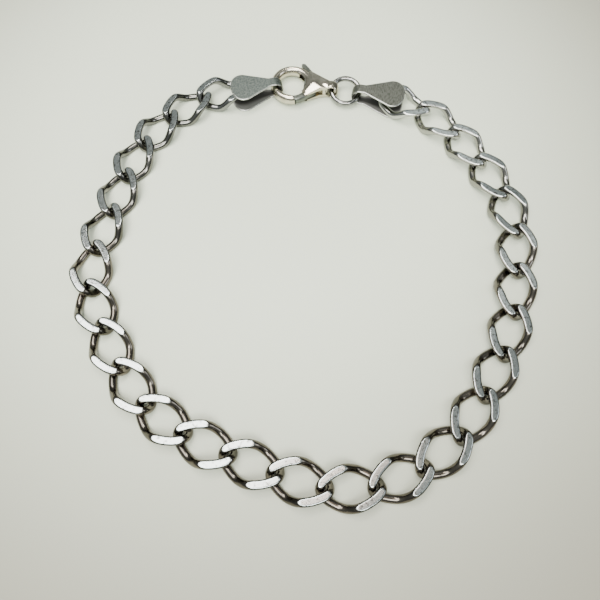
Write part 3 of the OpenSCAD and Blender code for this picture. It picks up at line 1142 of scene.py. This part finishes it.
# The rim tones are worn metal, painted lighter as a highlight
RIM_OUTSIDE, RIM_INSIDE = (0.48, 0.49, 0.46, 1), (0.5, 0.5, 0.48, 1)
GRAINED_TONES, EVEN_GRAIN = ((0.105, 0.125, 0.115), (0.22, 0.25, 0.23)), (1.5, 1.5)
BRUSHED_TONES, ONE_WAY = ((0.10, 0.105, 0.09), (0.22, 0.23, 0.2)), (3.0, 0.7)


def tag_silver(name, face_tones, brush):
    """Grain on the faces, a worn rim painted bright as a highlight, and black painted shade
    below the strip's middle, which is the inside of the fold."""
    s = MetalSheet(name)
    rim, low = s.attribute("rim"), s.attribute("height") < 0.0
    grain = s.noise(s.local((*brush, 1.0)), scale=2.2, detail=5, roughness=0.6)
    face = s.tones(grain, face_tones, start=0.36, end=0.64)
    near_rim = s.steps(s.attribute("edge"), NEAR_FROM, NEAR_TO)
    # Painted shade inside the fold, greyer towards the rim
    fold_shade = s.mix(near_rim, FOLD_SHADE_DEEP, FOLD_SHADE_NEAR_RIM)
    # Painted highlight on the worn rim, a little lighter on the lower plate
    worn_rim_highlight = s.mix(low, RIM_OUTSIDE, RIM_INSIDE)
    return s.finish(
        "Principled BSDF",
        Base_Color=s.mix(rim, s.mix(low, face, fold_shade), worn_rim_highlight),
        Metallic=ALL_METAL - TARNISH_AND_SHADE * low * (1 - rim),
        Roughness=0.38 + 0.2 * grain - 0.2 * rim,
        Normal=s.bump(grain, strength=0.5, distance=0.05),
    )


grained = tag_silver("tag_silver_grained", GRAINED_TONES, EVEN_GRAIN)
brushed = tag_silver("tag_silver_brushed", BRUSHED_TONES, ONE_WAY)
dress(claw_tag, grained)
dress(ring_tag, brushed)
print("tags dressed:", grained.name, brushed.name)

# %% [markdown]
# ## Ring, clasp and lever silver
#
# These three are polished pieces that differ only in tone and gloss: the jump ring is
# grey and glossy, the clasp is cast in a warmer alloy, and the lever is matte. One
# function with a soft cloud of noise makes all of them. The hinge pin keeps its CAD mesh
# and gets the lever's material, since only its CAD shape is needed.


# %% Plain finishes
RING_TONES, RING_GLOSS = ((0.22, 0.22, 0.215), (0.33, 0.33, 0.32)), (0.08, 0.14)
CLASP_TONES, CLASP_GLOSS = ((0.50, 0.455, 0.365), (0.68, 0.63, 0.52)), (0.12, 0.24)
LEVER_TONES, LEVER_GLOSS = ((0.14, 0.15, 0.13), (0.21, 0.225, 0.2)), (0.3, 0.45)


def plain_silver(name, tones, gloss):
    """Colour and roughness that drift between two values with a cloud of noise."""
    s = MetalSheet(name)
    cloud = s.noise(s.place(), scale=0.8, detail=4)
    return s.finish(
        "Principled BSDF",
        Base_Color=s.tones(cloud, tones),
        Metallic=1.0,
        Roughness=gloss[0] + (gloss[1] - gloss[0]) * cloud,
        Normal=s.bump(cloud, strength=0.1, distance=0.02),
    )


ring_material = plain_silver("ring_silver", RING_TONES, RING_GLOSS)
clasp_material = plain_silver("clasp_silver", CLASP_TONES, CLASP_GLOSS)
lever_material = plain_silver("lever_silver", LEVER_TONES, LEVER_GLOSS)
dress(jump_ring, ring_material)
dress(clasp_body, clasp_material)
dress(tail, clasp_material)
dress(lever, lever_material)
for slot in frame["nodes"]["clasp_pin"].material_slots:
    slot.material = lever_material
print("ring, clasp, lever and pin dressed")

# %% [markdown]
# ## Floor
#
# The bracelet lies on a pale sheet. In the photo the light falls off towards the
# corners, so the sheet gets a little darker outwards from a spot beside the clasp. That
# is made in its colour, as a soft step over the distance from the spot.

# %% Pale floor
FLOOR_HALF = 900
BRIGHT_SPOT, FALL_START, FALL_END = (-8, 22, 0), 25, 85
NEAR_TONES, OUTER_TONE = ((0.84, 0.90, 0.73), (0.86, 0.92, 0.75)), (0.30, 0.287, 0.228, 1)


def floor_material():
    """Near colour inside FALL_START, outer colour past FALL_END, in millimetres."""
    s = MetalSheet("pale_ground")
    place = s.place()
    away = s.node("VectorMath", {"operation": "DISTANCE"}, {0: place, 1: BRIGHT_SPOT})
    outer = s.steps(Value(s, away.outputs["Value"]), FALL_START, FALL_END)
    near = s.tones(s.noise(place, scale=0.02, detail=2), NEAR_TONES)
    colour = s.mix(outer, near, OUTER_TONE)
    return s.finish("Principled BSDF", Base_Color=colour, Roughness=0.6)


ends = np.array([-FLOOR_HALF, FLOOR_HALF], float)
corner_x, corner_y = np.meshgrid(ends, ends)
flat = np.stack([corner_x, corner_y, 0 * corner_x], axis=-1)
floor = make_mesh("floor", [(flat, np.array([[0, 1, 3, 2]]))])
dress(floor, floor_material())
print("floor:", 2 * FLOOR_HALF, "mm wide")

# %% [markdown]
# ## Soft panels of light
#
# Polished metal shows its surroundings more than its own colour, so the lights are laid
# out by where the metal mirrors them. Each panel is given by the direction in which it
# is seen from the middle. The wide lamp lies on the side that no flat link face mirrors:
# it lights the floor without turning the flats white. The flats at the right lie off the
# middle, so the wall and the door that they mirror are placed a little further out.

# %% Lights
LIGHT_FAR = 480


def area_light(name, place, size, power, colour):
    """A rectangular light at a place, turned towards the middle."""
    data = bpy.data.lights.new(name, "AREA")
    data.shape, data.size, data.size_y = "RECTANGLE", size[0] * MM, size[1] * MM
    data.energy, data.color = power, colour
    lamp = bpy.data.objects.new(name, data)
    lamp.location = [v * MM for v in place]
    lamp.rotation_euler = (-Vector(place)).to_track_quat("-Z", "Y").to_euler()
    bpy.context.scene.collection.objects.link(lamp)


def panel(name, toward, half, radiance, colour):
    """A soft panel in the direction (x, y, sqrt(1 - x x - y y)), with half its width and
    depth given in the same way. Its power is radiance * pi * area."""
    x, y = toward
    place = np.array([x, y, math.sqrt(1 - x * x - y * y)]) * LIGHT_FAR
    size = (2 * half[0] * LIGHT_FAR, 2 * half[1] * LIGHT_FAR)
    power = radiance * math.pi * size[0] * size[1] * MM * MM
    area_light(name, place, size, power, colour)


panel("window", (-0.33, 0.05), (0.30, 0.29), 8.0, (1.0, 0.97, 0.93))
panel("skylight", (-0.06, 0.40), (0.14, 0.085), 20.0, (1.0, 0.975, 0.9))
panel("side_window", (0.24, 0.56), (0.09, 0.14), 0.9, (0.95, 1.0, 0.97))
panel("lamp", (-0.02, -0.5), (0.42, 0.2), 11.0, (0.98, 0.99, 0.94))
panel("ceiling", (0.05, 0.05), (0.08, 0.13), 3.0, (1.0, 0.76, 0.63))
panel("side_wall", (0.41, 0.36), (0.05, 0.185), 0.4, (0.95, 1.0, 0.97))
panel("side_door", (0.385, 0.36), (0.024, 0.185), 0.9, (0.98, 1.0, 0.97))
area_light("fill", (420, -60, 260), (220, 220), 0.5, (0.9, 0.95, 1.0))

# %% [markdown]
# ## The room
#
# Between the panels the metal mirrors the room itself. The world's brightness is a
# curve over the height of a direction, times one over its depth, times one over its
# side, with a bright wall low at the back. It uses the same sheet of nodes as the
# materials.


# %% Room
# Each curve: axis, where it starts and ends, and the brightness at each
HEIGHT_CURVE, DEPTH_CURVE = ("Z", 0.0, 0.9, 0.22, 0.55), ("Y", -0.15, 0.4, 1.2, 0.6)
SIDE_CURVE, WALL_CURVE = ("X", -0.35, 0.45, 0.9, 0.75), ("Y", 0.72, 0.88, 1.0, 2.6)
ROOM_COLOUR = (0.93, 1.0, 0.97, 1)


def room_light():
    """Brightness = height curve * depth curve * side curve * wall curve."""
    world = bpy.context.scene.world or bpy.data.worlds.new("room")
    bpy.context.scene.world = world
    s = Sheet(world)
    seen = s.node("TexCoord").outputs["Generated"]
    curves = (HEIGHT_CURVE, DEPTH_CURVE, SIDE_CURVE, WALL_CURVE)
    height, depth, side, wall = [
        s.steps(s.part(seen, axis), *limits) for axis, *limits in curves
    ]
    return s.finish("Background", Color=ROOM_COLOUR, Strength=height * depth * side * wall)


print("room:", room_light().name)

# %% [markdown]
# ## Camera
#
# The photo was taken from above and from the near side, close to the bracelet, so its
# near side looks larger than its far side. The camera stands at that place and the lens
# is as wide as the photo's view.

# %% Camera
LENS, SENSOR = 33.72, 36
CAMERA_PLACE, CAMERA_TARGET = np.array([-0.72, -37.12, 74.87]), np.array([-0.72, -6.87, 0])
NEAREST, FARTHEST = 1, 5000

data = bpy.data.cameras.new("camera")
data.lens, data.sensor_width = LENS, SENSOR
data.clip_start, data.clip_end = NEAREST * MM, FARTHEST * MM
camera = bpy.data.objects.new("camera", data)
camera.location = CAMERA_PLACE * MM
looking = Vector(CAMERA_TARGET - CAMERA_PLACE)
camera.rotation_euler = looking.to_track_quat("-Z", "Y").to_euler()
bpy.context.scene.collection.objects.link(camera)
bpy.context.scene.camera = camera
print("camera looks down by", round(math.degrees(math.asin(-looking.normalized().z))), "degrees")

# %% [markdown]
